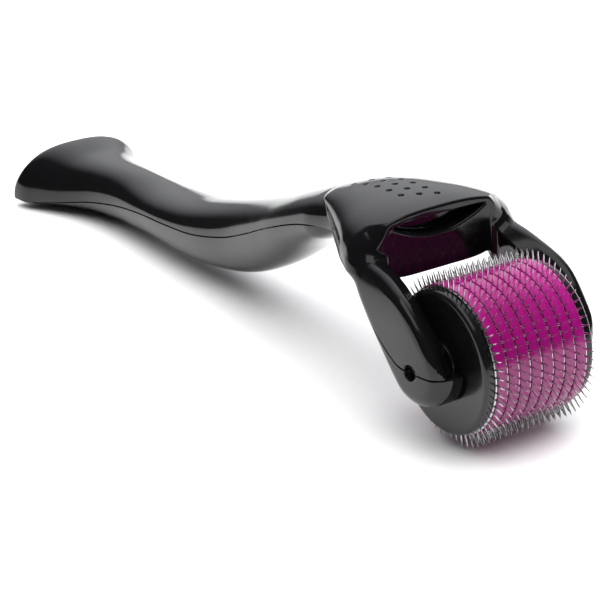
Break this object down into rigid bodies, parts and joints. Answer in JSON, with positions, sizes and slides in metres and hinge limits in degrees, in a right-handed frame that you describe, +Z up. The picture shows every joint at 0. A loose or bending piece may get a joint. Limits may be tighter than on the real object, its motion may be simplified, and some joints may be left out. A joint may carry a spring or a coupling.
{
  "type": "derma roller",
  "caption": "Hand-held needle roller: a curved black two-shell handle with a fork that holds a free-turning drum of stacked needle discs, coloured spacer rings and end caps on a steel axle.",
  "frame": {"origin": "centre of the footprint, on the surface that the tail pad and the needle tips rest on", "axes": "+X from the tail of the handle to the drum, +Y along the axle, +Z up"},
  "size_m": [0.134, 0.0284, 0.0286],
  "materials": {
    "handle_plastic": "high gloss black ABS",
    "cap_plastic": "gloss black ABS with a rounded rim",
    "core_plastic": "plain black moulding, hidden inside the drum",
    "ring_plastic": "gloss translucent magenta",
    "needle_steel": "etched bright stainless steel",
    "axle_steel": "ground steel pin"
  },
  "bodies": {
    "handle": {"upper_shell": "handle_plastic", "lower_shell": "handle_plastic", "axle": "axle_steel"},
    "roller": {"drum_core": "core_plastic", "left_cap": "cap_plastic", "right_cap": "cap_plastic", "needle_disc_1": "needle_steel", "needle_disc_2": "needle_steel", "needle_disc_3": "needle_steel", "needle_disc_4": "needle_steel", "needle_disc_5": "needle_steel", "needle_disc_6": "needle_steel", "needle_disc_7": "needle_steel", "needle_disc_8": "needle_steel", "needle_disc_9": "needle_steel", "spacer_ring_1": "ring_plastic", "spacer_ring_2": "ring_plastic", "spacer_ring_3": "ring_plastic", "spacer_ring_4": "ring_plastic", "spacer_ring_5": "ring_plastic", "spacer_ring_6": "ring_plastic", "spacer_ring_7": "ring_plastic", "spacer_ring_8": "ring_plastic"}
  },
  "joints": [
    {"name": "roller_spin", "type": "hinge", "parent": "handle", "child": "roller", "pos_m": [0.0549, 0, 0.0121], "axis": [0, 1, 0], "continuous": true}
  ]
}
